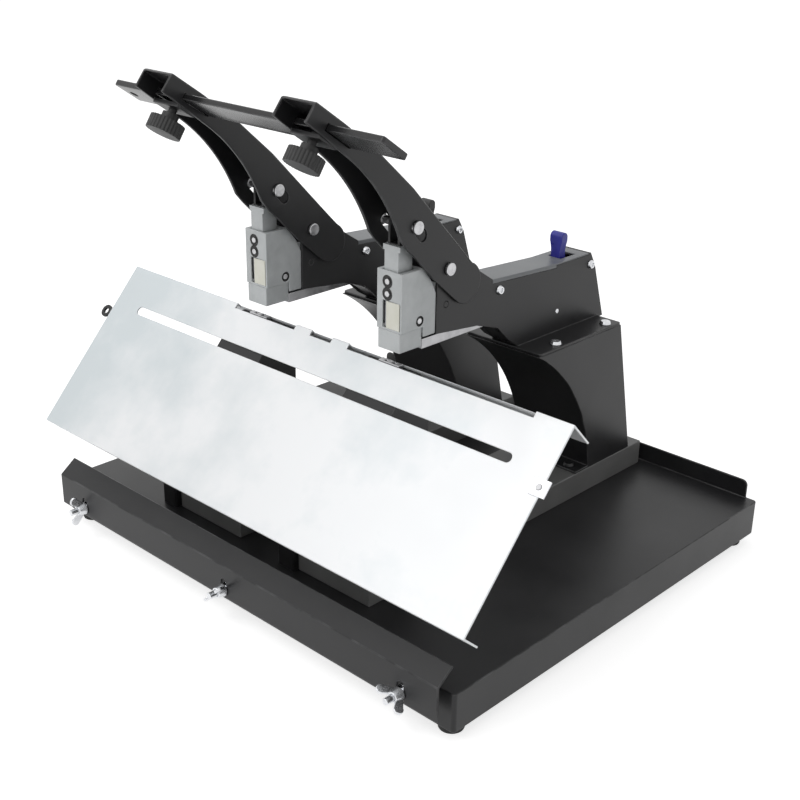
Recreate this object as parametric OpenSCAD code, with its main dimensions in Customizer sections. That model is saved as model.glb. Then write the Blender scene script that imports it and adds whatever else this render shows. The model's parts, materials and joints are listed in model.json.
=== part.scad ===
// Saddle stapler: two staple heads on one base, pressed together by one cross bar.
// Millimetres, +Z up, +X along the saddle, front of the machine towards -Y.
// Inside the modules y is measured from the front face of the base tray.

/* [Base] */
// width of the base tray
base_w = 442; // [400:1:480]
// depth of the base tray
base_d = 382; // [375:1:420]
// height of the tray skirt
base_h = 30; // [24:1:40]
// radius of the upright tray corners
base_r = 3; // [2.5:0.5:8]
// sheet thickness of tray, strip, platforms and stands
sheet_t = 2; // [1.5:0.1:2.5]
// width of the flange turned in under the tray
turn_in = 30; // [26:1:40]
// height of the upstand along the back of the tray
upstand_h = 15.5; // [8:0.5:25]
// inset of the upstand from each side of the tray
upstand_in = 10; // [5:1:30]
// height of a rubber foot
foot_h = 8.5; // [6:0.5:14]
// diameter of a rubber foot
foot_d = 20; // [16:1:22]
// distance of a foot centre from the tray edges
foot_in = 14; // [12:0.5:18]
// thread diameter of the small machine screws
screw_d = 4; // [3:0.5:5]
// head diameter of the small machine screws
screw_head_d = 8; // [7:0.5:9]
// head diameter of the stand bolts
bolt_head_d = 10; // [8:0.5:12]
// head height of the small machine screws
screw_head_h = 2.6; // [2:0.1:3]

/* [Front strip] */
// length of the front strip
strip_w = 430; // [400:1:460]
// gap between strip and tray, filled by the sleeves
strip_gap = 8; // [5:0.5:12]
// height of the bend above the floor
strip_z = 46; // [44:0.5:50]
// height of the upright flange
strip_drop = 27; // [24:0.5:28]
// width of the sloping flange
strip_up = 17.7; // [12:0.1:22]
// slope of the sloping flange
strip_tilt = 37; // [25:1:50]
// how far the strip can be let down
strip_travel = 6; // [4:0.5:8]
// distance of the outer studs from the middle
stud_x = 182; // [150:1:200]
// height of the studs above the floor
stud_z = 26; // [25:0.5:28]
// thread diameter of the studs
stud_d = 5; // [4:0.5:6]
// how far the studs reach out of the strip
stud_out = 14; // [12:0.5:18]
// height of the wing nut hub
nut_h = 7; // [5:0.5:9]
// hub diameter of the wing nut
nut_d = 9.5; // [8.5:0.5:12]
// distance of a wing tip centre from the nut axis
wing_x = 9; // [8:0.5:11]
// distance of a wing tip centre from the seat of the nut
wing_up = 9.3; // [8:0.1:10]
// diameter of a wing tip
wing_d = 7; // [6:0.5:8]
// thickness of a wing
wing_t = 2.2; // [1.5:0.1:3]

/* [Saddle] */
// length of the saddle plate
saddle_w = 466; // [430:1:480]
// thickness of the saddle plate
saddle_t = 1.5; // [1:0.1:2]
// distance of the ridge behind the tray front
ridge_y = 93.2; // [92:0.1:94.5]
// height of the ridge above the floor
ridge_z = 203; // [198:0.5:204]
// width of the front leg
front_leg = 152; // [120:0.1:155]
// slope of the front leg
front_tilt = 48; // [46:0.1:50]
// width of the rear leg
rear_leg = 25; // [24:0.5:32]
// slope of the rear leg
rear_tilt = 46; // [44:0.1:55]
// width of the lip turned in below the front leg
saddle_lip = 19; // [8:0.1:24]
// half length of the front slot
slot_half = 202; // [150:1:210]
// how far the ridge slots reach to the left of the middle
ridge_left = 98; // [92:1:200]
// how far the ridge slots reach to the right of the middle
ridge_right = 202; // [150:1:210]
// width of the bridges between the ridge slots
bridge_w = 17.5; // [10:0.5:20]
// distance of a bridge from the middle
bridge_x = 20; // [15:0.5:25]
// gap between ridge slot and anvil
ridge_slot = 0.5; // [0.3:0.1:1.5]
// distance of the front slot from the ridge along the leg
slot_down = 35.4; // [25:0.1:45]
// width of the front slot
slot_w = 7; // [5:0.5:9]
// distance of the end fittings from the ridge along the leg
end_down = 46; // [44:0.5:60]
// outer diameter of the eyelet standing out at the left end
eyelet_d = 11; // [9:0.5:14]
// how far the clip reaches past the right end
clip_out = 5; // [4:0.5:10]

/* [Units] */
// distance between the two stapler units
unit_gap = 142; // [130:1:160]
// width of platform and stand
stand_w = 75; // [70:1:84]
// front end of the platform behind the tray front
plat_y = 35; // [30:1:40]
// length of the platform
plat_l = 338; // [335:1:339]
// height of the platform
plat_h = 21.5; // [18:0.5:26]
// height of the stand above the platform
stand_h = 120; // [116:1:122]
// radius of the hollow front of the stand
stand_r = 154.4; // [152:0.2:156]
// top length of the stand behind the centre of that radius
stand_top = 185.5; // [184:0.5:187]
// how much longer the stand is at its foot
stand_foot = 28; // [20:1:30]
// distance of the centre of that radius behind the platform front
stand_at = 106; // [104:0.5:108]
// distance of the rear stand bolts from the back of the stand
bolt_back = 13; // [10:0.5:16]
// distance between front and rear stand bolts
bolt_gap = 66.5; // [60:0.5:70]
// depth of the tab at the foot of the stand
tab_d = 18; // [16:0.5:20]
// distance of a foot bolt from the middle of the stand
foot_bolt_x = 25; // [18:0.5:28]
// width of a clamp block beside the platform
block_w = 17.5; // [14:0.5:22]
// depth of a clamp block
block_d = 34; // [28:1:40]
// height of a clamp block
block_h = 18; // [14:0.5:22]
// width of the anvil holder
holder_w = 50; // [44:1:60]
// width of the anvil
anvil_w = 20; // [16:1:24]
// depth of the anvil
anvil_d = 5; // [4:0.5:6]
// height of the anvil above the ridge, below it when negative
anvil_up = -2.5; // [-3:0.1:1]

/* [Body and head] */
// width of the stapler body
body_w = 26; // [24:0.5:26]
// thickness of a body side plate
body_t = 2.2; // [1.8:0.1:2.6]
// distance of the head front behind the tray front
head_y = 90.5; // [89.5:0.5:91.5]
// depth of the head
head_d = 35.5; // [34.5:0.5:36]
// width of the head
head_w = 24; // [23:0.5:25]
// height of the head above the nose shoe
head_h = 43.7; // [40:0.1:45]
// height of the nose shoe
nose_h = 14.8; // [14:0.1:16]
// depth of the nose shoe
nose_d = 22.9; // [20:0.1:24]
// width of the nose shoe
nose_w = 21.4; // [20:0.1:22]
// paper gap between ridge and nose shoe
paper_gap = 6.5; // [5:0.1:9]
// width of the plunger
plunger_w = 13.2; // [12:0.1:14]
// depth of the plunger
plunger_d = 14; // [12:0.5:14.5]
// height of the plunger showing above the head
plunger_up = 18; // [17.5:0.5:20]
// thickness of a fork cheek on the plunger
cheek_t = 2; // [1.5:0.1:3]
// thickness of the driver blade
blade_t = 1.2; // [0.8:0.1:1.2]
// width of the driver blade
blade_w = 12; // [10:0.1:12.4]
// length of the thick part of the cover behind the head
cover_l = 140; // [136:1:142]
// width of the latch tab
latch_w = 12; // [8:0.5:14]
// height of the latch tab above the body
latch_h = 20; // [15:0.5:25]
// thickness of the latch tab
latch_t = 8; // [5:0.5:10]
// travel of the latch tab
latch_travel = 10; // [6:0.5:12]
// travel of the staple pusher
push_travel = 30; // [20:1:40]

/* [Lever] */
// distance of the lever pivot behind the tray front
pivot_y = 134.6; // [134:0.1:136]
// height of the lever pivot above the floor
pivot_z = 263.9; // [263:0.1:265]
// diameter of the pivot pins
pivot_d = 7; // [6:0.5:7.5]
// plunger pin in front of the pivot
pin_fwd = 34.6; // [34:0.1:35]
// plunger pin above the pivot
pin_up = 36.6; // [36:0.1:38]
// diameter of the plunger pins
pin_d = 6; // [5:0.5:6.5]
// diameter of the pin heads
pin_head_d = 9.6; // [9.2:0.1:11]
// thickness of the lever sheet
lever_t = 2.5; // [2:0.1:3]
// radius of the hollow front of the lever
hollow_r = 145; // [143:0.5:147]
// full swing of the lever in degrees
lever_swing = 16; // [12:0.5:16]
// length of the handle bar
bar_l = 270; // [240:1:300]
// width of the handle bar
bar_w = 25.4; // [22:0.1:27]
// thickness of the handle bar
bar_t = 4.5; // [3:0.5:5]
// slope of the handle bar
bar_tilt = 34; // [30:1:38]
// front edge of the bar in front of the pivot
bar_fwd = 115.6; // [112:0.1:120]
// front edge of the bar above the pivot
bar_up = 117.1; // [114:0.1:120]
// diameter of a clamp knob
knob_d = 25.5; // [22:0.5:30]
// height of a clamp knob
knob_h = 9.8; // [8:0.1:12]
// number of ribs round a clamp knob
knob_ribs = 30; // [20:1:36]
// thread diameter of a clamp knob
knob_screw_d = 6; // [5:0.5:8]

/* [Fits] */
// gap between parts that slide or swing past each other
run_gap = 0.4; // [0.3:0.05:0.5]
// radial gap between a turning part and its pin
pin_gap = 0.06; // [0.03:0.01:0.1]

/* [Hidden] */
$fn = 64;
eps = 0.5;
half = unit_gap / 2;
front_y = -(base_d - strip_gap - sheet_t - stud_out) / 2;
mid_x = (eyelet_d - clip_out) / 2;
base_z = foot_h + base_h;
stud_end = -strip_gap - sheet_t - stud_out;
plat_z = base_z + plat_h;
stand_z = plat_z + stand_h;
arc_y = plat_y + stand_at;
arc_z = plat_z - 14.5;
lever_in = body_w / 2 + run_gap;
lever_out = lever_in + lever_t;
in_w = body_w - 2 * body_t;
nose_z = ridge_z + paper_gap;
head_z = nose_z + nose_h;
head_top = head_z + head_h;
head_back = head_y + head_d;
pin_angle = atan2(pin_up, pin_fwd);
stroke = pin_fwd * (tan(pin_angle) - tan(pin_angle - lever_swing));
half_stroke = pin_fwd * (tan(pin_angle) - tan(pin_angle - lever_swing / 2));
pin_y = pivot_y - pin_fwd;
pin_z = pivot_z + pin_up;
bar_y = pivot_y - bar_fwd;
bar_z = pivot_z + bar_up;
pocket_y = head_y + 1.4;
pocket_w = plunger_w + 4;
pocket_d = plunger_d + 2;
pocket_z = head_z + 3.7;
plunger_y = pocket_y + run_gap;
plunger_z = pocket_z + stroke + 6;
plunger_top = head_top + plunger_up;
blade_y = plunger_y + 0.2;
blade_z = nose_z + stroke + 0.3;
anvil_y = blade_y + blade_t / 2;
cover_back = head_back + cover_l;
latch_y = cover_back + 14;
body_top = head_top - 29;
body_back = arc_y + stand_top - 8;
flange_at = 78;
rail_z = nose_z - 2;
staple_back = head_back + 62;
push_l = 16;
rail_back = staple_back + push_l + push_travel + 58;
knob_a = 8.4;
knob_u = 18.9;
black = [0.09, 0.09, 0.1];
zinc = [0.86, 0.87, 0.88];
grey = [0.62, 0.64, 0.66];
steel = [0.7, 0.7, 0.72];
rubber = [0.05, 0.05, 0.05];
cream = [0.88, 0.85, 0.76];
blue = [0.12, 0.14, 0.6];

// point in the side view given along and above the front edge of the bar
function bar_pt(a, u) = [
  bar_y + a * cos(bar_tilt) + u * sin(bar_tilt),
  bar_z - a * sin(bar_tilt) + u * cos(bar_tilt)
];
// point in the side view given from the lever pivot
function piv(y, z) = [pivot_y + y, pivot_z + z];
// point on the outside of the front leg, s from the ridge and d below the surface
function leg(s, d) = [
  ridge_y - s * cos(front_tilt) + d * sin(front_tilt),
  ridge_z - s * sin(front_tilt) - d * cos(front_tilt)
];
// point on the outside of the rear leg
function rear(s, d) = [
  ridge_y + s * cos(rear_tilt) - d * sin(rear_tilt),
  ridge_z - s * sin(rear_tilt) - d * cos(rear_tilt)
];
// heights of the undersides of both legs
function under_front(y) = ridge_z - (ridge_y - y) * tan(front_tilt) - saddle_t / cos(front_tilt);
function under_rear(y) = ridge_z - (y - ridge_y) * tan(rear_tilt) - saddle_t / cos(rear_tilt);

// whole-machine pieces
module place() translate([mid_x, front_y, 0]) children();
// pieces of the left (-1) or right (1) unit
module unit(s) translate([mid_x + s * half, front_y, 0]) children();
// side-view outline drawn out evenly along x
module along_x(w) rotate([90, 0, 90]) linear_extrude(w, center = true) children();
// round bar along x through a side-view point
module rod_x(p, d, x0, x1) translate([x0, p[0], p[1]]) rotate([0, 90, 0]) cylinder(d = d, h = x1 - x0);
// round bar along y
module rod_y(x, z, d, y0, y1) translate([x, y0, z]) rotate([-90, 0, 0]) cylinder(d = d, h = y1 - y0);
// box given by its middle in x and its ranges in y and z
module box(w, y0, y1, z0, z1) translate([-w / 2, y0, z0]) cube([w, y1 - y0, z1 - z0]);
// frame of the handle bar: y along the bar width, z square to it
module at_bar() translate([0, bar_y, bar_z]) rotate([-bar_tilt, 0, 0]) children();
// frame of the front leg: y up the leg, z out of it, origin s below the ridge
module at_leg(s) translate([0, leg(s, 0)[0], leg(s, 0)[1]]) rotate([front_tilt, 0, 0]) children();
// frame of the rear leg: y down the leg, z out of it
module at_rear(s) translate([0, rear(s, 0)[0], rear(s, 0)[1]]) rotate([-rear_tilt, 0, 0]) children();

// plate with four round upright corners, lower front left corner at the origin
module round_plate(w, d, h, r) {
  translate([r, 0, 0]) cube([w - 2 * r, d, h]);
  translate([0, r, 0]) cube([w, d - 2 * r, h]);
  for (x = [r, w - r], y = [r, d - r]) translate([x, y, 0]) cylinder(r = r, h = h);
}

// button head screw standing head up, seat of the head at the origin, shank downwards
module screw(len, d = screw_head_d, socket = 0.42) {
  translate([0, 0, -len]) cylinder(d = screw_d, h = len + eps);
  difference() {
    cylinder(d1 = d, d2 = d - 2.4, h = screw_head_h);
    if (socket > 0) translate([0, 0, screw_head_h - 1.5]) cylinder(d = socket * d, h = 2, $fn = 6);
  }
}

// places of the tray holes
module at_feet() for (x = [-1, 1], y = [foot_in, base_d - foot_in])
  translate([x * (base_w / 2 - foot_in), y, 0]) children();
module at_studs() for (x = [-stud_x, 0, stud_x]) translate([x, 0, stud_z]) children();
module at_floor_screws() for (x = [-20, 20], y = [plat_y + 12, plat_y + plat_l - 12])
  translate([x, y, base_z]) children();
module at_platform_screws() for (s = [-half, half]) translate([s, 0, 0]) at_floor_screws() children();

module base_tray() color(black) place() difference() {
  union() {
    translate([-base_w / 2, 0, foot_h]) round_plate(base_w, base_d, base_h, base_r);
    upstand();
  }
  box(base_w - 2 * sheet_t, sheet_t, base_d - sheet_t, foot_h + sheet_t, base_z - sheet_t);
  box(base_w - 2 * turn_in, turn_in, base_d - turn_in, foot_h - 1, base_z - sheet_t - 1);
  at_feet() translate([0, 0, foot_h - 1]) cylinder(d = screw_d, h = sheet_t + 2);
  at_studs() rod_y(0, 0, stud_d, -1, sheet_t + 1);
  at_platform_screws() translate([0, 0, -sheet_t - 1]) cylinder(d = screw_d, h = sheet_t + 2);
}

module upstand() {
  w = base_w - 2 * upstand_in;
  r = 5;
  y0 = base_d - sheet_t;
  box(w, y0, base_d, base_z - eps, base_z + upstand_h - r);
  box(w - 2 * r, y0, base_d, base_z - eps, base_z + upstand_h);
  for (x = [-1, 1]) rod_y(x * (w / 2 - r), base_z + upstand_h - r, 2 * r, y0, base_d);
}

module rubber_feet() color(rubber) place() at_feet() difference() {
  cylinder(d1 = foot_d - 2, d2 = foot_d, h = foot_h);
  translate([0, 0, -1]) cylinder(d = screw_head_d + 1, h = foot_h / 2 + 1);
  cylinder(d = screw_d, h = foot_h + 1);
}

module foot_screws() color(zinc) place() at_feet() {
  translate([0, 0, foot_h / 2]) rotate([180, 0, 0]) screw(foot_h / 2 + sheet_t + 4);
  translate([0, 0, foot_h + sheet_t]) cylinder(d = screw_head_d, h = 3, $fn = 6);
}

module front_strip() color(black) place() {
  y0 = -strip_gap - sheet_t;
  c = cos(strip_tilt);
  s = sin(strip_tilt);
  k = sheet_t * (1 - s) / c;
  slot_h = strip_travel + stud_d + 2 * run_gap;
  difference() {
    along_x(strip_w) polygon([
      [y0, strip_z - strip_drop],
      [y0 + sheet_t, strip_z - strip_drop],
      [y0 + sheet_t, strip_z - k],
      [y0 + strip_up * c + sheet_t * s, strip_z + strip_up * s - sheet_t * c],
      [y0 + strip_up * c, strip_z + strip_up * s],
      [y0, strip_z]
    ]);
    at_studs() {
      rod_y(0, 0, stud_d + 2 * run_gap, y0 - 1, y0 + sheet_t + 1);
      rod_y(0, strip_travel, stud_d + 2 * run_gap, y0 - 1, y0 + sheet_t + 1);
      box(stud_d + 2 * run_gap, y0 - 1, y0 + sheet_t + 1, 0, strip_travel);
    }
  }
}

module strip_studs() color(zinc) place() at_studs() {
  rod_y(0, 0, stud_d, stud_end, sheet_t + 5);
  rod_y(0, 0, 9, sheet_t, sheet_t + 4, $fn = 6);
}

module strip_sleeves() color(zinc) place() at_studs() difference() {
  rod_y(0, 0, stud_d + 5, -strip_gap + run_gap, 0);
  rod_y(0, 0, stud_d, -strip_gap - 1, 1);
}

// tapered hub with two wings that flare away from the strip
module wing_nut() {
  y1 = -strip_gap - sheet_t - run_gap;
  wing_y = y1 - wing_up;
  r = wing_d / 2;
  difference() {
    union() {
      translate([0, y1, 0]) rotate([90, 0, 0]) cylinder(d1 = nut_d + 1, d2 = nut_d - 1.5, h = nut_h);
      for (s = [0, 180]) rotate([0, s, 0]) translate([0, 0, -wing_t / 2]) {
        translate([wing_x, wing_y, 0]) cylinder(r = r, h = wing_t);
        linear_extrude(wing_t) polygon([
          [stud_d / 2, y1 - 1],
          [nut_d / 2, y1 - 1],
          [wing_x + r * cos(24), wing_y + r * sin(24)],
          [wing_x - r * cos(51), wing_y - r * sin(51)],
          [stud_d / 2, y1 - nut_h + 1]
        ]);
      }
    }
    rod_y(0, 0, stud_d + 2 * pin_gap, y1 - nut_h - 10, y1 + 1);
  }
}

module wing_nut_left() color(zinc) place() translate([-stud_x, 0, stud_z]) rotate([0, 90, 0]) wing_nut();
module wing_nut_middle() color(zinc) place() translate([0, 0, stud_z]) rotate([0, -44, 0]) wing_nut();
module wing_nut_right() color(zinc) place() translate([stud_x, 0, stud_z]) rotate([0, 27, 0]) wing_nut();

module saddle_plate() color(zinc) place() {
  slot_y = anvil_d / 2 + ridge_slot;
  k = saddle_t / sin(front_tilt + rear_tilt);
  inner = [
    ridge_y + k * (cos(rear_tilt) - cos(front_tilt)),
    ridge_z - k * (sin(front_tilt) + sin(rear_tilt))
  ];
  difference() {
    along_x(saddle_w) polygon([
      [ridge_y, ridge_z],
      leg(front_leg, 0),
      leg(front_leg, saddle_lip),
      leg(front_leg - saddle_t, saddle_lip),
      leg(front_leg - saddle_t, saddle_t),
      inner,
      rear(rear_leg, saddle_t),
      rear(rear_leg, 0)
    ]);
    difference() {
      translate([-ridge_left, anvil_y - slot_y, ridge_z - 20])
        cube([ridge_left + ridge_right, 2 * slot_y, 25]);
      for (s = [-bridge_x, bridge_x]) translate([s, 0, 0])
        box(bridge_w, anvil_y - 9, anvil_y + 9, ridge_z - 21, ridge_z + 6);
    }
    at_leg(slot_down) {
      box(2 * slot_half - slot_w, -slot_w / 2, slot_w / 2, -5, 5);
      for (s = [-1, 1]) translate([s * (slot_half - slot_w / 2), 0, -5]) cylinder(d = slot_w, h = 10);
    }
    at_saddle_screws() translate([0, 0, -5]) cylinder(d = screw_d, h = 10);
  }
}

module at_saddle_screws() for (s = [-half, half], x = [-18, 18])
  translate([s + x, 0, 0]) at_rear(16) children();

module saddle_screws() color(zinc) place() {
  at_saddle_screws() screw(saddle_t + 8);
}

// eyelet level with the saddle, its tab welded under the left edge
module end_eyelet() color(black) place() at_leg(end_down) translate([-saddle_w / 2, 0, -saddle_t]) {
  r = eyelet_d / 2;
  difference() {
    union() {
      translate([-r, 0, -0.7]) cylinder(r = r, h = saddle_t + 0.7);
      translate([-2, -1.5, -1.5]) cube([14, 3, 1.5]);
    }
    translate([-r, 0, -2]) cylinder(d = eyelet_d - 6, h = saddle_t + 3);
  }
}

// clip laid on the right edge of the saddle, with its screw
module end_clip() color(zinc) place() at_leg(end_down) translate([saddle_w / 2, 0, 0]) {
  translate([-8, -6, 0]) cube([8 + clip_out, 12, 1.5]);
  translate([-1.5, 0, 1]) cylinder(d = 4, h = 1.5);
}

module platform() difference() {
  box(stand_w, plat_y, plat_y + plat_l, base_z, plat_z);
  in = stand_w - 2 * sheet_t;
  box(in, plat_y + sheet_t, plat_y + plat_l - sheet_t, base_z + sheet_t, plat_z - sheet_t);
  box(in, plat_y + 24, plat_y + plat_l - 24, base_z - 1, base_z + sheet_t + 1);
  at_floor_screws() translate([0, 0, -1]) cylinder(d = screw_d, h = sheet_t + 2);
  at_holder_screws() translate([0, 0, -sheet_t - 1]) cylinder(d = screw_d, h = sheet_t + 2);
  at_foot_bolts() translate([0, 0, -sheet_t - 1]) cylinder(d = screw_d, h = sheet_t + 2);
}

module platform_left() color(black) unit(-1) platform();
module platform_right() color(black) unit(1) platform();

module platform_screws() color(zinc) place() at_platform_screws() {
  translate([0, 0, -sheet_t]) rotate([180, 0, 0]) screw(2 * sheet_t + 5);
  translate([0, 0, sheet_t]) cylinder(d = screw_head_d, h = 3, $fn = 6);
}

// block beside the front of each platform
module clamp_blocks() color(black) for (s = [-1, 1]) unit(s) {
  translate([-stand_w / 2 - block_w, plat_y - 5, base_z]) round_plate(block_w, block_d, block_h, 2);
}

module at_stand_bolts() for (x = [-1, 1], y = [stand_top - bolt_back - bolt_gap, stand_top - bolt_back])
  translate([x * (stand_w / 2 - 7), arc_y + y, stand_z]) children();
module at_foot_bolts() for (x = [-foot_bolt_x, foot_bolt_x])
  translate([x, arc_y + stand_r - tab_d + 7, plat_z]) children();

module stand() difference() {
  union() {
    stand_form(stand_w, 0, plat_z);
    box(stand_w, arc_y + stand_r - tab_d, arc_y + stand_r + 1, plat_z, plat_z + sheet_t);
  }
  stand_form(stand_w - 2 * sheet_t, sheet_t, plat_z - 1);
  at_stand_bolts() translate([0, 0, -sheet_t - 1]) cylinder(d = screw_d, h = sheet_t + 2);
  at_foot_bolts() translate([0, 0, -1]) cylinder(d = screw_d, h = sheet_t + 2);
}

// solid form of the stand, drawn in on all sides by t
module stand_form(w, t, z0) difference() {
  along_x(w) polygon([
    [arc_y + 20, z0],
    [arc_y + stand_top + stand_foot * (stand_z - z0) / stand_h - t, z0],
    [arc_y + stand_top + stand_foot * t / stand_h - t, stand_z - t],
    [arc_y + 20, stand_z - t]
  ]);
  rod_x([arc_y, arc_z], 2 * (stand_r + t), -w / 2 - 1, w / 2 + 1, $fn = 128);
}

module stand_left() color(black) unit(-1) stand();
module stand_right() color(black) unit(1) stand();

module stand_bolts() color(zinc) for (s = [-1, 1]) unit(s) {
  at_stand_bolts() translate([0, 0, sheet_t]) screw(2 * sheet_t + 5, bolt_head_d, 0);
  at_foot_bolts() translate([0, 0, sheet_t]) screw(2 * sheet_t + 5, bolt_head_d, 0);
}

module at_holder_screws() for (x = [-16, 16]) translate([x, ridge_y - 4, plat_z]) children();

module holder() difference() {
  crest = anvil_d / 2 + ridge_slot + 0.4;
  y0 = ridge_y - 27;
  y1 = ridge_y + 14;
  along_x(holder_w) polygon([
    [y0, plat_z],
    [y0, under_front(y0)],
    [ridge_y - crest, under_front(ridge_y - crest)],
    [ridge_y + crest, under_rear(ridge_y + crest)],
    [y1, under_rear(y1)],
    [y1, plat_z]
  ]);
  box(holder_w - 8, y0 - 1, y1 - 6, plat_z + 8, ridge_z - 45);
  box(anvil_w, anvil_y - anvil_d / 2, anvil_y + anvil_d / 2, ridge_z - 26, ridge_z);
  at_holder_screws() translate([0, 0, -1]) cylinder(d = screw_d, h = 7);
  for (x = [-18, 18]) translate([x, 0, 0]) at_rear(16)
    translate([0, 0, -saddle_t - 8]) cylinder(d = screw_d, h = 12);
}

module holder_left() color(black) unit(-1) holder();
module holder_right() color(black) unit(1) holder();

module holder_screws() color(zinc) for (s = [-1, 1]) unit(s) at_holder_screws() {
  translate([0, 0, -sheet_t]) rotate([180, 0, 0]) screw(sheet_t + 6);
}

// steel block with two curling grooves
module anvil() difference() {
  top = ridge_z + anvil_up;
  box(anvil_w, anvil_y - anvil_d / 2, anvil_y + anvil_d / 2, ridge_z - 26, top);
  for (x = [-1, 1]) rod_y(x * blade_w / 3, top + 1, 4, anvil_y - 1.5, anvil_y + 1.5);
}

module anvil_left() color(steel) unit(-1) anvil();
module anvil_right() color(steel) unit(1) anvil();

// side outline of the body
body_pts = [
  [head_back, head_z - 8.3],
  [head_back + 46, rail_z + 3.5],
  [head_back + 70, rail_z - 4.5],
  [arc_y + 70, stand_z + 9],
  [arc_y + 85, stand_z],
  [body_back + 16, stand_z],
  [body_back, body_top - 12],
  [body_back - 7, body_top],
  [cover_back, body_top],
  [head_back + 62, body_top + 4.5],
  piv(7, 9.4),
  [head_back, pivot_z - 1]
];
body_bolts = [[head_back + 70, body_top - 5.5], [body_back - 7, body_top - 10]];
body_rivet = [body_back - 48.5, stand_z + 19];
head_rivet = [head_back + 10, head_z + 12];

// cover laid on the body sides, w wide, thinner behind where the latch comes through
module cover_block(w) along_x(w) polygon([
  [head_back + 62, body_top + 4.5],
  [cover_back, body_top],
  [body_back - 10, body_top],
  [body_back - 10, body_top - 1.2],
  [cover_back, body_top - 1.2],
  [cover_back, body_top - 3.5],
  [head_back + 62, body_top + 1]
]);
// slot that the latch slides in
module latch_slot() {
  y1 = latch_y + latch_t + latch_travel;
  box(latch_w + 2 * run_gap, latch_y - run_gap, y1 + run_gap, body_top - 4, body_top + 1);
}

module body() difference() {
  union() {
    for (s = [-1, 1]) translate([s * (body_w - body_t) / 2, 0, 0]) {
      along_x(body_t) polygon(body_pts);
      rod_x(piv(0, 0), 24, -body_t / 2, body_t / 2);
    }
    along_x(in_w + eps) {
      polygon([
        [arc_y + 58, stand_z + 20.5],
        [arc_y + 85, stand_z],
        [body_back + 16, stand_z],
        [body_back, body_top - 12],
        [body_back - 7, body_top],
        [cover_back, body_top],
        [cover_back, body_top - 2.5],
        [body_back - 8, body_top - 2.5],
        [body_back - 2.5, body_top - 12],
        [body_back + 12.5, stand_z + 2.5],
        [arc_y + 86, stand_z + 2.5],
        [arc_y + 60, stand_z + 22.5]
      ]);
    }
    translate([-stand_w / 2, arc_y + flange_at, stand_z])
      round_plate(stand_w, stand_top - flange_at, sheet_t, base_r);
  }
  cover_block(body_w + 1);
  latch_slot();
  rod_x(piv(0, 0), pivot_d, -body_w, body_w);
  for (p = body_bolts) rod_x(p, screw_d, -body_w, body_w);
  rod_x(body_rivet, screw_d, -body_w, body_w);
  rod_x(head_rivet, 5, -body_w, body_w);
  at_stand_bolts() translate([0, 0, -1]) cylinder(d = screw_d, h = sheet_t + 2);
}

module body_left() color(black) unit(-1) body();
module body_right() color(black) unit(1) body();

module body_screws() color(zinc) for (s = [-1, 1]) unit(s) {
  for (p = body_bolts) {
    rod_x(p, screw_d, -body_w / 2, body_w / 2);
    for (x = [-1, 1]) translate([x * body_w / 2, p[0], p[1]]) rotate([0, 90 * x, 0]) screw(1);
  }
  rod_x(body_rivet, screw_d, -body_w / 2 - 0.5, body_w / 2 + 0.5);
  for (x = [-1, 1]) scale([x, 1, 1]) rod_x(head_rivet, 5, body_w / 2 - body_t - 4, body_w / 2);
}

module cover() difference() {
  union() {
    cover_block(body_w);
    box(in_w, head_back + 63, head_back + 77, body_top - 10, body_top + 1);
  }
  rod_x(body_bolts[0], screw_d, -body_w, body_w);
  latch_slot();
}

module cover_left() color(grey) unit(-1) cover();
module cover_right() color(grey) unit(1) cover();

// thumb tab sliding in the top of the body, waisted, held by a flange below
module latch() {
  y1 = latch_y + latch_t;
  z0 = body_top - 2.5 - run_gap;
  z1 = body_top + latch_h - latch_t / 2;
  x1 = latch_w / 2;
  difference() {
    union() {
      box(latch_w, latch_y, y1, z0 - 1, z1);
      rod_x([y1 - latch_t / 2, z1], latch_t, -x1, x1);
    }
    for (s = [-1, 1]) rod_y(s * (x1 + 28.4), body_top + 3, 60, latch_y - 1, y1 + 1, $fn = 128);
  }
  box(latch_w + 5, latch_y - 4, y1 + 1, z0 - 2, z0);
}

module latch_left() color(blue) unit(-1) latch();
module latch_right() color(blue) unit(1) latch();

// channel with the core the staples ride on and a rod for the pusher spring
module rail() difference() {
  union() {
    box(in_w, head_y + nose_d, rail_back, rail_z, rail_z + 7.5);
    box(9, blade_y + blade_t + 2, rail_back, rail_z + 4.5, rail_z + 9.8);
    box(in_w, rail_back - 2, rail_back, rail_z, rail_z + 19);
    rod_y(0, rail_z + 15, 3, staple_back + push_l + 4, rail_back - 1);
  }
  for (s = [-6.8, 6.8]) translate([s, 0, 0])
    box(4.6, head_y + nose_d - 1, rail_back - 2, rail_z + 1.4, rail_z + 11.4);
}

module rail_left() color(steel) unit(-1) rail();
module rail_right() color(steel) unit(1) rail();

// stick of glued staples over the core
module staples() difference() {
  box(11.6, blade_y + blade_t + run_gap, staple_back, rail_z + 5, rail_z + 10.8);
  box(9.8, blade_y + blade_t, staple_back + 1, rail_z + 4, rail_z + 10);
}

module staples_left() color(steel) unit(-1) staples();
module staples_right() color(steel) unit(1) staples();

// block pushing the staples forward
module pusher() difference() {
  y0 = staple_back + run_gap;
  box(11.6, y0, y0 + push_l, rail_z + 5, rail_z + 19);
  box(9 + 2 * run_gap, y0 - 1, y0 + push_l + 1, rail_z + 4, rail_z + 10.2);
  rod_y(0, rail_z + 15, 3 + 2 * run_gap, y0 - 1, y0 + push_l + 1);
}

module pusher_left() color(black) unit(-1) pusher();
module pusher_right() color(black) unit(1) pusher();

// hidden spring, drawn as the sleeve it fills
module pusher_spring() difference() {
  y0 = staple_back + run_gap + push_l;
  rod_y(0, rail_z + 15, 7, y0, rail_back - 2);
  rod_y(0, rail_z + 15, 4, y0 - 1, rail_back);
}

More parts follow.
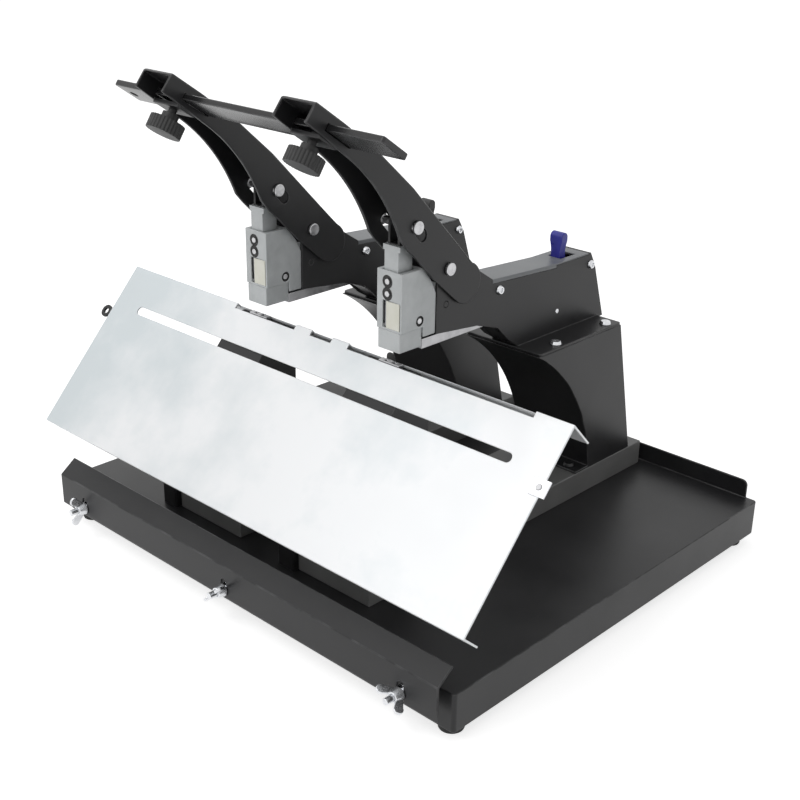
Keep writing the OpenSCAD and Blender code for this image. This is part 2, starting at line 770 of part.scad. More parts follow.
module pusher_spring_left() color(steel) unit(-1) pusher_spring();
module pusher_spring_right() color(steel) unit(1) pusher_spring();

side_screw = [head_y + 19.3, head_z + 5.4];
window = [-6.5, 10.5, 1.5, 21.5];

module head() difference() {
  union() {
    along_x(head_w) polygon([
      [head_y, head_z],
      [head_y, head_top],
      [head_y + 22, head_top],
      [head_y + 31, head_top - 11.5],
      [head_back, head_top - 21],
      [head_back, head_z - 7.5],
      [head_y + nose_d, head_z - 7.5],
      [head_y + nose_d, head_z]
    ]);
    box(in_w, head_back - 1, head_back + 20, head_z + 2, head_z + 22);
  }
  box(pocket_w, pocket_y, pocket_y + pocket_d, pocket_z, head_top + 1);
  box(blade_w + 2 * run_gap, blade_y - run_gap, blade_y + blade_t + run_gap, head_z - 1, pocket_z + 1);
  translate([window[0], head_y - 1, head_z + window[2]])
    cube([window[1] - window[0], 2.4 + eps, window[3] - window[2]]);
  box(in_w, head_y + nose_d - 1, head_back + 1, rail_z, rail_z + 12);
  for (x = [-1, 1]) rod_x(head_rivet, 5, x * in_w / 2 - 4, x * in_w / 2 + 4);
  at_front_screws() {
    rod_y(0, 0, 3, head_y - 1, pocket_y + 1);
    rod_y(0, 0, 9.4, head_y - 1, head_y + 0.8);
  }
  rod_x(side_screw, 3, head_w / 2 - 5, head_w / 2 + 1);
  rod_x(side_screw, 7.6, head_w / 2 - 1.5, head_w / 2 + 1);
}

module at_front_screws() for (z = [26.7, 35.7]) translate([-2, 0, head_z + z]) children();

module head_left() color(grey) unit(-1) head();
module head_right() color(grey) unit(1) head();

// shoe that leads blade and staples
module nose() difference() {
  box(nose_w, head_y, head_y + nose_d, nose_z, head_z);
  box(blade_w + 2 * run_gap, blade_y - run_gap, blade_y + blade_t + run_gap, nose_z - 1, head_z + 1);
  box(blade_w + 2 * run_gap, blade_y, head_y + nose_d + 1, rail_z + 4, rail_z + 11.6);
}

module nose_left() color(grey) unit(-1) nose();
module nose_right() color(grey) unit(1) nose();

module front_plates() color(cream) for (s = [-1, 1]) unit(s) {
  translate([window[0] + 3.4, head_y + 0.3, head_z + window[2]])
    cube([window[1] - window[0] - 4.4, 0.9, window[3] - window[2]]);
}

module head_screws() color(zinc) for (s = [-1, 1]) unit(s) {
  at_front_screws() {
    rod_y(0, 0, 3, head_y, pocket_y);
    rod_y(0, 0, 4.2, head_y - 0.4, head_y + 0.8);
  }
  rod_x(side_screw, 3, head_w / 2 - 5, head_w / 2 - 1);
  rod_x(side_screw, 4.2, head_w / 2 - 1.5, head_w / 2 - 0.2);
}

// sliding block with a collar and a fork for the plunger pin
module plunger() difference() {
  union() {
    box(plunger_w, plunger_y, plunger_y + plunger_d, plunger_z, plunger_top);
    box(pocket_w - 2 * run_gap, plunger_y, plunger_y + plunger_d + 1, plunger_top - 4, plunger_top);
    box(plunger_w - 2, pin_y - 5.5, pin_y + 5.5, plunger_top - 1, pin_z);
    rod_x([pin_y, pin_z], 11, 1 - plunger_w / 2, plunger_w / 2 - 1);
  }
  rod_x([pin_y, pin_z], pin_d, -plunger_w, plunger_w);
  box(blade_w, blade_y, blade_y + blade_t, plunger_z - 1, plunger_z + 8);
  box(plunger_w - 2 - 2 * cheek_t, pin_y - 8, pin_y + 8, plunger_top + 1, pin_z + 8);
}

module plunger_left() color(grey) unit(-1) plunger();
module plunger_right() color(grey) unit(1) plunger();

module blade() box(blade_w, blade_y, blade_y + blade_t, blade_z, plunger_z + 8);

module blade_left() color(steel) unit(-1) blade();
module blade_right() color(steel) unit(1) blade();

// pin across the lever with a head on each side
module cross_pin(p, d) {
  x1 = lever_out + run_gap;
  rod_x(p, d, -x1, x1);
  for (s = [-1, 1]) scale([s, 1, 1]) rod_x(p, pin_head_d, x1, x1 + 2.4);
}

module plunger_pin_left() color(zinc) unit(-1) cross_pin([pin_y, pin_z], pin_d);
module plunger_pin_right() color(zinc) unit(1) cross_pin([pin_y, pin_z], pin_d);
module pivot_pins() color(zinc) for (s = [-1, 1]) unit(s) cross_pin(piv(0, 0), pivot_d);

// hidden spring under the plunger, drawn as the sleeve it fills
module return_spring() difference() {
  y = plunger_y + 9;
  translate([0, y, pocket_z]) cylinder(d = 8.5, h = plunger_z - pocket_z);
  translate([0, y, pocket_z - 1]) cylinder(d = 5.5, h = plunger_z - pocket_z + 2);
}

module return_spring_left() color(steel) unit(-1) return_spring();
module return_spring_right() color(steel) unit(1) return_spring();

// back edge of a lever, along which both plates hang together
lever_back = [bar_pt(-16, 6.9), bar_pt(15, 6.9), bar_pt(54, 5), piv(-37.3, 64.3), piv(0, 26.2)];
// side outline of a lever plate
lever_pts = concat([bar_pt(-17.2, -7.9)], lever_back, [
  piv(34, -8.5),
  piv(20, -15),
  piv(8, -25.2),
  piv(-15.9, -4.4),
  piv(-44.1, 23.6),
  piv(-49.9, 30.4),
  bar_pt(24, -10)
]);
// way of the plunger pin along the lever, and its side play
pin_way = norm([pin_fwd, pin_up]) - norm([pin_fwd, pin_up - stroke]);
pin_play = (half_stroke - stroke / 2) * cos(pin_angle) + 0.2;

module lever() difference() {
  union() {
    for (s = [-1, 1]) translate([s * (lever_in + lever_t / 2), 0, 0]) difference() {
      union() {
        along_x(lever_t) polygon(lever_pts);
        rod_x(piv(20, -15), 31, -lever_t / 2, lever_t / 2);
      }
      rod_x(piv(-184.7, -23.3), 2 * hollow_r, -lever_t, lever_t, $fn = 128);
    }
    along_x(2 * lever_in + 2 * eps) polygon(concat(
      lever_back,
      [for (i = [len(lever_back) - 1:-1:0]) lever_back[i] - lever_t * [sin(40), cos(40)]]
    ));
    at_bar() box(2 * lever_in + 2 * eps, 0, 2 * knob_a, -10.6, -7.4);
  }
  at_bar() {
    box(2 * lever_out + 2, -0.2, bar_w + 0.2, -bar_t - 0.2, 0);
    translate([0, knob_a, -12]) cylinder(d = knob_screw_d + 2 * pin_gap, h = 6);
  }
  rod_x(piv(0, 0), pivot_d + 2 * pin_gap, -lever_out - 1, lever_out + 1);
  translate([0, pin_y, pin_z]) rotate([-pin_angle, 0, 0]) {
    w = pin_d + 2 * (pin_play + run_gap);
    for (y = [0, pin_way]) rod_x([y, 0], w, -lever_out - 1, lever_out + 1);
    translate([-lever_out - 1, 0, -w / 2]) cube([2 * lever_out + 2, pin_way, w]);
  }
}

module lever_left() color(black) unit(-1) lever();
module lever_right() color(black) unit(1) lever();

module handle_bar() color(black) place() at_bar() difference() {
  translate([-bar_l / 2, 0, -bar_t]) round_plate(bar_l, bar_w, bar_t, 2);
  translate([-bar_l / 2 + 9, bar_w / 2, -bar_t - 1]) cylinder(d = 6, h = bar_t + 2);
}

// fluted hand knob with its clamping screw
module knob() at_bar() translate([0, knob_a, -knob_u]) {
  difference() {
    translate([0, 0, -knob_h]) cylinder(d = knob_d, h = knob_h);
    for (i = [1:knob_ribs]) rotate(i * 360 / knob_ribs)
      translate([knob_d / 2 + 0.4, 0, -knob_h - 1]) cylinder(d = 1.8, h = knob_h + 2, $fn = 16);
  }
  translate([0, 0, -eps]) cylinder(d = 12, h = 5 + eps);
  cylinder(d = knob_screw_d, h = knob_u - bar_t - 0.2 - run_gap);
}

module knob_left() color(black) unit(-1) knob();
module knob_right() color(black) unit(1) knob();

base_tray();
rubber_feet();
foot_screws();
front_strip();
strip_studs();
strip_sleeves();
wing_nut_left();
wing_nut_middle();
wing_nut_right();
saddle_plate();
saddle_screws();
end_eyelet();
end_clip();
platform_left();
platform_right();
platform_screws();
clamp_blocks();
stand_left();
stand_right();
stand_bolts();
holder_left();
holder_right();
holder_screws();
anvil_left();
anvil_right();
body_left();
body_right();
body_screws();
cover_left();
cover_right();
latch_left();
latch_right();
rail_left();
rail_right();
staples_left();
staples_right();
pusher_left();
pusher_right();
pusher_spring_left();
pusher_spring_right();
head_left();
head_right();
nose_left();
nose_right();
front_plates();
head_screws();
plunger_left();
plunger_right();
blade_left();
blade_right();
plunger_pin_left();
plunger_pin_right();
return_spring_left();
return_spring_right();
pivot_pins();
lever_left();
lever_right();
handle_bar();
knob_left();
knob_right();
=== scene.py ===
import json
import math

import bpy
from mathutils import Matrix, Vector
from mathutils.geometry import intersect_point_line

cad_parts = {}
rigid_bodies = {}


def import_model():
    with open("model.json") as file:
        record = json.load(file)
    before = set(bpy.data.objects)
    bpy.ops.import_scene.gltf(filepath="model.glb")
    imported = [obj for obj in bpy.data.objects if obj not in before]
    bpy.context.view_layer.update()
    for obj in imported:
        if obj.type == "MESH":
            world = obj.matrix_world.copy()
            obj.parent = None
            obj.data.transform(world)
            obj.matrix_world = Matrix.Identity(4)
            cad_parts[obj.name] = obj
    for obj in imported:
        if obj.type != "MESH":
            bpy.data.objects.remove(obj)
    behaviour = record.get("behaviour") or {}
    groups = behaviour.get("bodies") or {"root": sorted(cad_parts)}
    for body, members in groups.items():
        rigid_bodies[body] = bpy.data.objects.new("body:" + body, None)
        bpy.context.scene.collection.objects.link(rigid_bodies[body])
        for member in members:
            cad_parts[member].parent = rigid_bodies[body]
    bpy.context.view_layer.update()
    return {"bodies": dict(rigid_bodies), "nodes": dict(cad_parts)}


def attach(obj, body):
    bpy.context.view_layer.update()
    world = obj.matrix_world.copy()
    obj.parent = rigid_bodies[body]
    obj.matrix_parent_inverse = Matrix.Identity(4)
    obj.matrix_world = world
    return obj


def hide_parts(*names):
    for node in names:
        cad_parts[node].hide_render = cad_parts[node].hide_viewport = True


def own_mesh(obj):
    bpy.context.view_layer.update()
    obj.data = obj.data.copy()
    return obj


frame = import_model()

# Base tray: one sheet of steel folded to a shallow box with an upstand at the back.
# It is powder coated black, which leaves a fine orange-peel skin and soft edges.
sheet_edge = 0.0008  # width of the broken edges of stout sheet and bar, in metres like all sizes here
merge_gap = 8e-5  # corners closer than this are one
flat_turn = math.radians(0.5)  # faces that turn less than this are one
sharp_turn = math.radians(35)  # edges that turn more than this are broken
mix_a, mix_b, mix_result = 6, 7, 2  # colour sockets of a Mix node


def grain_group():
    """Fine skin of a coating: a height for the bump, a slow mottle for colour and gloss, and patchy lightening of the
    edges that is partly scuffing and partly a painted highlight.
    """
    group = bpy.data.node_groups.new("coating_skin", "ShaderNodeTree")
    group.interface.new_socket("Vector", in_out="INPUT", socket_type="NodeSocketVector")
    for name in ("Skin Scale", "Mottle Scale", "Edge"):
        group.interface.new_socket(name, in_out="INPUT", socket_type="NodeSocketFloat")
    for name in ("Height", "Mottle", "Wear And Sheen"):
        group.interface.new_socket(name, in_out="OUTPUT", socket_type="NodeSocketFloat")
    nodes, links = group.nodes, group.links
    inside, outside = nodes.new("NodeGroupInput"), nodes.new("NodeGroupOutput")
    skin, mottle, patches = (nodes.new("ShaderNodeTexNoise") for noise in range(3))
    for noise, detail in ((skin, 3), (mottle, 5), (patches, 4)):
        noise.inputs["Detail"].default_value = detail
        links.new(inside.outputs["Vector"], noise.inputs["Vector"])
    links.new(inside.outputs["Skin Scale"], skin.inputs["Scale"])
    links.new(skin.outputs["Fac"], outside.inputs["Height"])
    mottle.inputs["Roughness"].default_value = 0.6
    links.new(inside.outputs["Mottle Scale"], mottle.inputs["Scale"])
    links.new(mottle.outputs["Fac"], outside.inputs["Mottle"])
    patches.inputs["Scale"].default_value = 60
    wear_and_sheen_patches = nodes.new("ShaderNodeMapRange")
    wear_and_sheen_patches.inputs["From Min"].default_value = 0.4
    wear_and_sheen_patches.inputs["From Max"].default_value = 0.65
    links.new(patches.outputs["Fac"], wear_and_sheen_patches.inputs["Value"])
    wear_and_sheen = nodes.new("ShaderNodeMath")
    wear_and_sheen.operation = "MULTIPLY"
    links.new(wear_and_sheen_patches.outputs["Result"], wear_and_sheen.inputs[0])
    links.new(inside.outputs["Edge"], wear_and_sheen.inputs[1])
    links.new(wear_and_sheen.outputs[0], outside.inputs["Wear And Sheen"])
    return group


coating_skin = grain_group()


def finish(
    name, dark, light, gloss, metallic=0.0, skin=1500, mottle=14, bump=0.1, depth=0.0002, shine=0.5, edge_wear_and_sheen=None
):
    """Material whose colour and roughness drift between two values under a fine skin, and whose edges are lightened
    in patches, partly as scuffing and partly as a painted highlight.
    """
    made = bpy.data.materials.new(name)
    made.use_nodes = True
    nodes, links = made.node_tree.nodes, made.node_tree.links
    shader = nodes["Principled BSDF"]
    shader.inputs["Metallic"].default_value = metallic
    shader.inputs["Specular IOR Level"].default_value = shine
    place = nodes.new("ShaderNodeTexCoord")
    group = nodes.new("ShaderNodeGroup")
    group.node_tree = coating_skin
    group.inputs["Skin Scale"].default_value = skin
    group.inputs["Mottle Scale"].default_value = mottle
    links.new(place.outputs["Object"], group.inputs["Vector"])
    colour = nodes.new("ShaderNodeValToRGB")
    for stop, position, shade in zip(colour.color_ramp.elements, (0.36, 0.64), (dark, light)):
        stop.position = position
        stop.color = (*shade, 1)
    links.new(group.outputs["Mottle"], colour.inputs["Fac"])
    edge = nodes.new("ShaderNodeAttribute")
    edge.attribute_name = "edge"
    links.new(edge.outputs["Fac"], group.inputs["Edge"])
    edge_wear_and_sheen_mix = nodes.new("ShaderNodeMix")
    edge_wear_and_sheen_mix.data_type = "RGBA"
    edge_wear_and_sheen_mix.inputs[mix_b].default_value = (*(edge_wear_and_sheen or light), 1)
    links.new(group.outputs["Wear And Sheen"], edge_wear_and_sheen_mix.inputs["Factor"])
    links.new(colour.outputs["Color"], edge_wear_and_sheen_mix.inputs[mix_a])
    links.new(edge_wear_and_sheen_mix.outputs[mix_result], shader.inputs["Base Color"])
    rough = nodes.new("ShaderNodeMapRange")
    for socket, value in (("From Min", 0.3), ("From Max", 0.7), ("To Min", gloss[0]), ("To Max", gloss[1])):
        rough.inputs[socket].default_value = value
    links.new(group.outputs["Mottle"], rough.inputs["Value"])
    links.new(rough.outputs["Result"], shader.inputs["Roughness"])
    relief = nodes.new("ShaderNodeBump")
    relief.inputs["Strength"].default_value = bump
    relief.inputs["Distance"].default_value = depth
    links.new(group.outputs["Height"], relief.inputs["Height"])
    links.new(relief.outputs["Normal"], shader.inputs["Normal"])
    return made


def rounded(node, width, material, segments=2, folds=None, fold_radius=None):
    """Shown copy of a CAD node with its sharp edges broken, riding on the same body.

    folds selects the edges of a mesh that are first rounded to fold_radius.
    """
    source = frame["nodes"][node]
    body = next(name for name, empty in frame["bodies"].items() if empty == source.parent)
    bpy.ops.object.select_all(action="DESELECT")
    source.select_set(True)
    bpy.context.view_layer.objects.active = source
    bpy.ops.object.duplicate()
    piece = bpy.context.view_layer.objects.active
    piece.name = node + "_shown"
    bpy.ops.object.mode_set(mode="EDIT")
    bpy.ops.mesh.select_all(action="SELECT")
    bpy.ops.mesh.remove_doubles(threshold=merge_gap)
    bpy.ops.mesh.dissolve_limited(angle_limit=flat_turn)
    if folds:
        bpy.ops.mesh.select_mode(type="EDGE")
        bpy.ops.mesh.select_all(action="DESELECT")
        bpy.ops.object.mode_set(mode="OBJECT")
        folds(piece.data)
        bpy.ops.object.mode_set(mode="EDIT")
        bpy.ops.mesh.bevel(offset=fold_radius, segments=4, affect="EDGES", loop_slide=False)
        bpy.ops.mesh.select_all(action="SELECT")
    # Convex faces with edges of even width leave no fold where a flat face has holes.
    bpy.ops.mesh.vert_connect_concave()
    bpy.ops.object.mode_set(mode="OBJECT")
    bpy.ops.object.shade_smooth()
    edge = piece.modifiers.new("edges", "BEVEL")
    edge.limit_method = "ANGLE"
    edge.angle_limit = sharp_turn
    edge.width = width
    edge.segments = segments
    edge.use_clamp_overlap = False
    edge.loop_slide = False
    # The second material only marks the new faces, for the attribute that the edge scuffing and painted edge
    # highlight follow.
    edge.material = 1
    piece.data.materials.clear()
    piece.data.materials.append(material)
    piece.data.materials.append(material)
    bpy.ops.object.modifier_apply(modifier="edges")
    mark = piece.data.attributes.new("edge", "FLOAT", "FACE")
    mark.data.foreach_set("value", [float(face.material_index) for face in piece.data.polygons])
    piece.data.polygons.foreach_set("material_index", [0] * len(piece.data.polygons))
    piece.data.materials.pop(index=1)
    level = piece.modifiers.new("normals", "WEIGHTED_NORMAL")
    level.weight = 90
    bpy.ops.object.modifier_apply(modifier="normals")
    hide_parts(node)
    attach(piece, body)
    return piece


# The third colour lightens the edges of the black coat in patches, partly as scuffing and partly as a painted
# highlight.
coat_dark, coat_light, coat_wear_and_sheen = (0.012, 0.012, 0.013), (0.020, 0.020, 0.021), (0.075, 0.075, 0.077)
powder_black = finish("powder_black", coat_dark, coat_light, (0.34, 0.46), shine=0.38, edge_wear_and_sheen=coat_wear_and_sheen)
rounded("base_tray", sheet_edge, powder_black)

# Rubber feet: four moulded black studs, each held by a screw from below.
# The rubber is dull, a little dusty and slightly rounded at the rim.
rim_edge, screw_edge = 0.001, 0.0003
rubber = finish(
    "foot_rubber", (0.012, 0.012, 0.012), (0.022, 0.021, 0.020), (0.7, 0.85), skin=900, mottle=60, bump=0.2
)
rounded("rubber_feet", rim_edge, rubber)
zinc_fastener = finish(
    "zinc_fastener", (0.62, 0.63, 0.65), (0.76, 0.77, 0.79), (0.18, 0.32),
    metallic=1.0, skin=2500, mottle=220, bump=0.05
)
rounded("foot_screws", screw_edge, zinc_fastener)

# Platforms: a folded channel under each unit, screwed down to the tray, in a paler black that is painted light,
# standing for the light that falls on their sides and under the saddle.
# A small black block stands beside the front end of each.
sides = ("left", "right")
lit_platform_black = finish(
    "lit_platform_black", (0.140, 0.140, 0.138), (0.180, 0.180, 0.178), (0.46, 0.6), edge_wear_and_sheen=(0.20, 0.20, 0.20)
)
for side in sides:
    rounded("platform_" + side, sheet_edge, lit_platform_black)
rounded("clamp_blocks", sheet_edge, powder_black)
rounded("platform_screws", screw_edge, zinc_fastener)

# Stands: welded black sheet columns with a hollow curved front that carry the bodies.
# Zinc bolts hold the body foot on top, and others the stand foot on the platform; these sit in shade and are painted
# with the black coat as painted shade.
bolt_edge = 0.0005
foot_bolts_below = 0.1


def repaint(piece, material, chosen):
    """Second material on the faces of a piece whose corners all lie in a chosen place."""
    piece.data.materials.append(material)
    last = len(piece.data.materials) - 1
    for face in piece.data.polygons:
        if all(chosen(piece.data.vertices[index].co) for index in face.vertices):
            face.material_index = last


for side in sides:
    rounded("stand_" + side, sheet_edge, powder_black)
bolts = rounded("stand_bolts", bolt_edge, zinc_fastener)
# Painted shade: the foot bolts below this height take the black coat.
repaint(bolts, powder_black, lambda spot: spot.z < foot_bolts_below)

# Anvil holders: black cast posts under the ridge, held by screws from below.
# A hardened steel anvil is let into the top of each.
small_edge = 0.0004
bare_steel = finish(
    "bare_steel", (0.34, 0.34, 0.35), (0.46, 0.46, 0.47), (0.25, 0.4), metallic=1.0, skin=1800, mottle=90
)
for side in sides:
    rounded("holder_" + side, sheet_edge, powder_black)
    rounded("anvil_" + side, small_edge, bare_steel)
rounded("holder_screws", screw_edge, zinc_fastener)

# Saddle plate: thin steel sheet bent to a roof, zinc plated nearly white and screwed to the anvil holders.
# The plating is cloudy, more so to the left; an eyelet and a clip sit at its two ends.
plate_edge = 0.0005
leg_tilt = math.radians(48)
out_of_leg = Vector((0, -math.sin(leg_tilt), math.cos(leg_tilt)))
clip_screw, clip_screw_radius = Vector((0.2345, -0.1166, 0.1688)), 0.0024
zinc_sheet = finish(
    "zinc_sheet", (0.66, 0.71, 0.73), (0.84, 0.85, 0.86), (0.34, 0.5), metallic=0.5, skin=900, mottle=9, bump=0.04
)
nodes, links = zinc_sheet.node_tree.nodes, zinc_sheet.node_tree.links
by_type = {node.type: node for node in nodes}
along = nodes.new("ShaderNodeSeparateXYZ")
links.new(by_type["TEX_COORD"].outputs["Object"], along.inputs[0])
fade = nodes.new("ShaderNodeMapRange")
for socket, value in (("From Min", -0.2), ("From Max", -0.05), ("To Min", -0.16), ("To Max", 0.1)):
    fade.inputs[socket].default_value = value
links.new(along.outputs["X"], fade.inputs["Value"])
cloud = nodes.new("ShaderNodeMath")
links.new(fade.outputs["Result"], cloud.inputs[0])
links.new(by_type["GROUP"].outputs["Mottle"], cloud.inputs[1])
links.new(cloud.outputs[0], by_type["VALTORGB"].inputs["Fac"])
rounded("saddle_plate", plate_edge, zinc_sheet)
rounded("saddle_screws", small_edge, zinc_fastener)
rounded("end_eyelet", small_edge, powder_black)
clip = rounded("end_clip", screw_edge, zinc_fastener)
repaint(clip, bare_steel, lambda spot: (spot - clip_screw).cross(out_of_leg).length < clip_screw_radius)

# Front strip: black folded sheet on three studs with sleeves behind it.
# Wing nuts of bright zinc hold it at its height.
rounded("front_strip", sheet_edge, powder_black)
rounded("strip_studs", screw_edge, zinc_fastener)
rounded("strip_sleeves", screw_edge, zinc_fastener)
for place in ("left", "middle", "right"):
    rounded("wing_nut_" + place, small_edge, zinc_fastener)

# Bodies: two black side plates on a foot, closed behind and below, with zinc screws and black rivets through them.
# A bare grey plate covers the top; in its slot slides a latch, black on the left unit and blue on the right.
latch_edge, thin_edge = 0.0008, 0.0001
rivet_y, rivet_z, rivet_radius = -0.043, 0.2363, 0.004
grey_plate = finish("grey_plate", (0.17, 0.18, 0.19), (0.21, 0.22, 0.23), (0.35, 0.5), skin=1600, mottle=30)
blue_plastic = finish(
    "blue_plastic", (0.020, 0.021, 0.27), (0.032, 0.034, 0.36), (0.25, 0.4), skin=700, mottle=80, bump=0.05
)
black_plastic = finish(
    "black_plastic", (0.020, 0.020, 0.020), (0.032, 0.032, 0.032), (0.45, 0.6), skin=1200, mottle=60
)
latch_plastic = {"left": black_plastic, "right": blue_plastic}


def shortening(spring):
    """Shown copy of a spring in bare steel, with a mesh of its own."""
    piece = rounded(spring, thin_edge, bare_steel)
    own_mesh(piece)


for side in sides:
    rounded("body_" + side, plate_edge, powder_black)
    rounded("cover_" + side, plate_edge, grey_plate)
    rounded("latch_" + side, latch_edge, latch_plastic[side], segments=3)
    rounded("rail_" + side, screw_edge, bare_steel)
    rounded("pusher_" + side, screw_edge, black_plastic)
    rounded("staples_" + side, thin_edge, bare_steel)
    shortening("pusher_spring_" + side)
screws = rounded("body_screws", bolt_edge, zinc_fastener)
repaint(screws, powder_black, lambda spot: math.hypot(spot.y - rivet_y, spot.z - rivet_z) < rivet_radius)

# Heads: grey die castings with a nose shoe below, a cream plate in the front window and small steel screws.
# The plunger, with a black fork on top, and its blade slide inside on a spring.
middle_x, half_gap = 0.003, 0.071
nose_edge, pin_edge, fine_edge = 0.0007, 0.0006, 0.0002
plunger_edge = 0.00009  # narrow, because one wall of the plunger is only 0.2 mm
fork_foot = 0.28605
front_screw_x, front_screw_z, front_bore_radius = -0.002, (0.251, 0.260), 0.0053
front_bore_y = (-0.0884, -0.0875)
side_screw_y, side_screw_z, side_bore_radius = -0.0692, 0.2297, 0.0044
side_bore_x = (0.010, 0.0119)
grey_casting = finish(
    "grey_casting", (0.46, 0.48, 0.485), (0.58, 0.60, 0.605), (0.42, 0.58),
    metallic=0.25, skin=1100, mottle=40, bump=0.12
)
cream_plate = finish(
    "cream_plate", (0.88, 0.87, 0.76), (0.94, 0.93, 0.84), (0.4, 0.55), skin=900, mottle=70, bump=0.05
)
# Painted shade: the counterbores of the head screws get this near-black colour, standing for the shade inside them.
recess_shade = finish("recess_shade", (0.015, 0.015, 0.015), (0.04, 0.04, 0.04), (0.5, 0.7), mottle=200)
dull_steel = finish(
    "dull_steel", (0.44, 0.44, 0.45), (0.60, 0.60, 0.61), (0.28, 0.42), metallic=1.0, skin=2500, mottle=300, bump=0.05
)


def from_middle(spot):
    """Distance of a spot to the right of the middle of its unit."""
    return spot.x - middle_x - math.copysign(half_gap, spot.x)


def in_recess(spot):
    """True below the surface in the counterbores of the front screws and of the side screw of a head."""
    across = from_middle(spot)
    if front_bore_y[0] < spot.y < front_bore_y[1]:
        if any(math.hypot(across - front_screw_x, spot.z - height) < front_bore_radius for height in front_screw_z):
            return True
    beside = math.hypot(spot.y - side_screw_y, spot.z - side_screw_z) < side_bore_radius
    return beside and side_bore_x[0] < across < side_bore_x[1]


for side in sides:
    repaint(rounded("head_" + side, plate_edge, grey_casting, segments=3), recess_shade, in_recess)
    rounded("nose_" + side, nose_edge, grey_casting, segments=3)
    plunger = rounded("plunger_" + side, plunger_edge, grey_casting)
    repaint(plunger, powder_black, lambda spot: spot.z > fork_foot)
    rounded("plunger_pin_" + side, pin_edge, dull_steel)
    rounded("blade_" + side, thin_edge, bare_steel)
    shortening("return_spring_" + side)
rounded("front_plates", fine_edge, cream_plate)
rounded("head_screws", screw_edge, dull_steel)

# Levers: black folded sheet turning on steel pivot pins, with a flat bar through both
# that fluted plastic knobs clamp from below. The bar is smoother than the sheet and mirrors the floor.
bar_tilt = math.radians(34)
bar_front = Vector((0, -0.160, 0.381))
pivot = Vector((0, -0.0444, 0.2639))
lever_half = 0.0159
lever_edge, fold_radius = 0.0006, 0.0018
near, past_end = 0.0002, 0.01  # how far a corner may lie off a fold, and past its end as a share of it


def on_bar(along, above):
    """Point of the side view, along the bar from its front edge and above it."""
    back = along * math.cos(bar_tilt) + above * math.sin(bar_tilt)
    up = above * math.cos(bar_tilt) - along * math.sin(bar_tilt)
    return bar_front + Vector((0, back, up))


lever_back = (
    on_bar(-0.016, 0.0069),
    on_bar(0.015, 0.0069),
    on_bar(0.054, 0.005),
    pivot + Vector((0, -0.0373, 0.0643)),
    pivot + Vector((0, 0.034, -0.0085)),
)


def on_back(corner):
    """True on the two folds along the back of a lever."""
    if abs(abs(from_middle(corner)) - lever_half) > near:
        return False
    flat = Vector((0, corner.y, corner.z))
    for start, end in zip(lever_back, lever_back[1:]):
        nearest, share = intersect_point_line(flat, start, end)
        if (nearest - flat).length < near and -past_end < share < 1 + past_end:
            return True
    return False


def back_folds(mesh):
    """Selects the edges along the back of a lever."""
    for edge in mesh.edges:
        edge.select = all(on_back(mesh.vertices[index].co) for index in edge.vertices)


bar_black = finish("bar_black", coat_dark, coat_light, (0.20, 0.28), bump=0, edge_wear_and_sheen=coat_wear_and_sheen)
rounded("pivot_pins", pin_edge, dull_steel)
for side in sides:
    rounded("lever_" + side, lever_edge, powder_black, folds=back_folds, fold_radius=fold_radius)
    rounded("knob_" + side, fine_edge, black_plastic)
rounded("handle_bar", sheet_edge, bar_black)

# Floor: a plain pale sheet that runs out of sight under the rubber feet.
# It is lifted to white for the camera and in reflections, and keeps a weak shadow.


def looked_at(tree):
    """Socket that is 1 where the camera looks straight at a surface, in a reflection or through glass, else 0."""
    rays = tree.nodes.new("ShaderNodeLightPath")
    found = rays.outputs["Is Camera Ray"]
    for kind in ("Is Glossy Ray", "Is Transmission Ray"):
        either = tree.nodes.new("ShaderNodeMath")
        either.operation = "MAXIMUM"
        tree.links.new(found, either.inputs[0])
        tree.links.new(rays.outputs[kind], either.inputs[1])
        found = either.outputs[0]
    return found


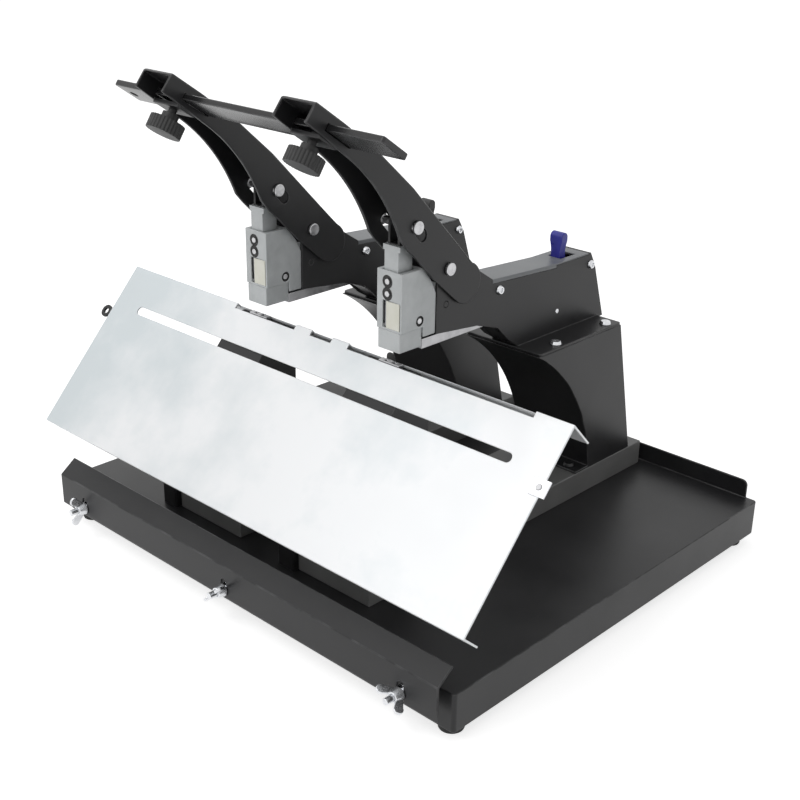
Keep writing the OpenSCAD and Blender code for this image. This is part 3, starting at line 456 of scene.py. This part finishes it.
bpy.ops.object.select_all(action="DESELECT")
bpy.ops.mesh.primitive_plane_add(size=30, location=(0, 0, 0))
floor = bpy.context.view_layer.objects.active
floor.name = "floor"
pale = bpy.data.materials.new("pale_floor")
pale.use_nodes = True
nodes, links = pale.node_tree.nodes, pale.node_tree.links
pale_shader = nodes["Principled BSDF"]
pale_shader.inputs["Base Color"].default_value = (0.8, 0.8, 0.8, 1)
pale_shader.inputs["Roughness"].default_value = 0.9
pale_shader.inputs["Specular IOR Level"].default_value = 0.0
pale_shader.inputs["Emission Color"].default_value = (1, 1, 1, 1)
lift = nodes.new("ShaderNodeMath")
lift.operation = "MULTIPLY"
lift.inputs[1].default_value = 0.71
links.new(looked_at(pale.node_tree), lift.inputs[0])
links.new(lift.outputs[0], pale_shader.inputs["Emission Strength"])
floor.data.materials.append(pale)

# Room: an even white surround, like the cut-out ground of the photograph.
# It is softer as a light than it looks to the camera.
world = bpy.data.worlds.new("white_room")
bpy.context.scene.world = world
world.use_nodes = True
nodes, links = world.node_tree.nodes, world.node_tree.links
glow = nodes["Background"]
glow.inputs["Color"].default_value = (1, 1, 1, 1)
level = nodes.new("ShaderNodeMapRange")
level.inputs["To Min"].default_value = 0.45
level.inputs["To Max"].default_value = 1.0
links.new(looked_at(world.node_tree), level.inputs["Value"])
links.new(level.outputs["Result"], glow.inputs["Strength"])

# Lamps: a large soft box high in front, and a weaker one from the left.
# Both look at the middle of the machine.
aim = Vector((0, 0, 0.15))
for name, spot, size, power in (
    ("soft_box_front", Vector((-0.5, -1.6, 1.9)), 1.6, 15),
    ("soft_box_left", Vector((-1.8, 0.2, 1.4)), 1.4, 5),
):
    bpy.ops.object.light_add(type="AREA", location=spot)
    lamp = bpy.context.view_layer.objects.active
    lamp.name = name
    lamp.data.size = size
    lamp.data.energy = power
    lamp.rotation_euler = (aim - spot).to_track_quat("-Z", "Y").to_euler()

# Camera: place, turn and lens solved from the straight edges in the photograph.
# It stands in front to the right and looks down at the machine.
yaw, pitch, roll = math.radians(43.356), math.radians(23.126), math.radians(-0.938)
ahead = Vector((-math.sin(yaw) * math.cos(pitch), math.cos(yaw) * math.cos(pitch), -math.sin(pitch)))
right = Vector((math.cos(yaw), math.sin(yaw), 0))
down = ahead.cross(right)
across = math.cos(roll) * right + math.sin(roll) * down
below = -math.sin(roll) * right + math.cos(roll) * down
bpy.ops.object.camera_add(location=(0.6652, -0.7019, 0.5354))
camera = bpy.context.view_layer.objects.active
camera.data.lens = 57.96
camera.data.sensor_width = 36
camera.rotation_euler = Matrix((across, -below, -ahead)).transposed().to_euler()
bpy.context.scene.camera = camera
bpy.context.scene.view_settings.view_transform = "Standard"
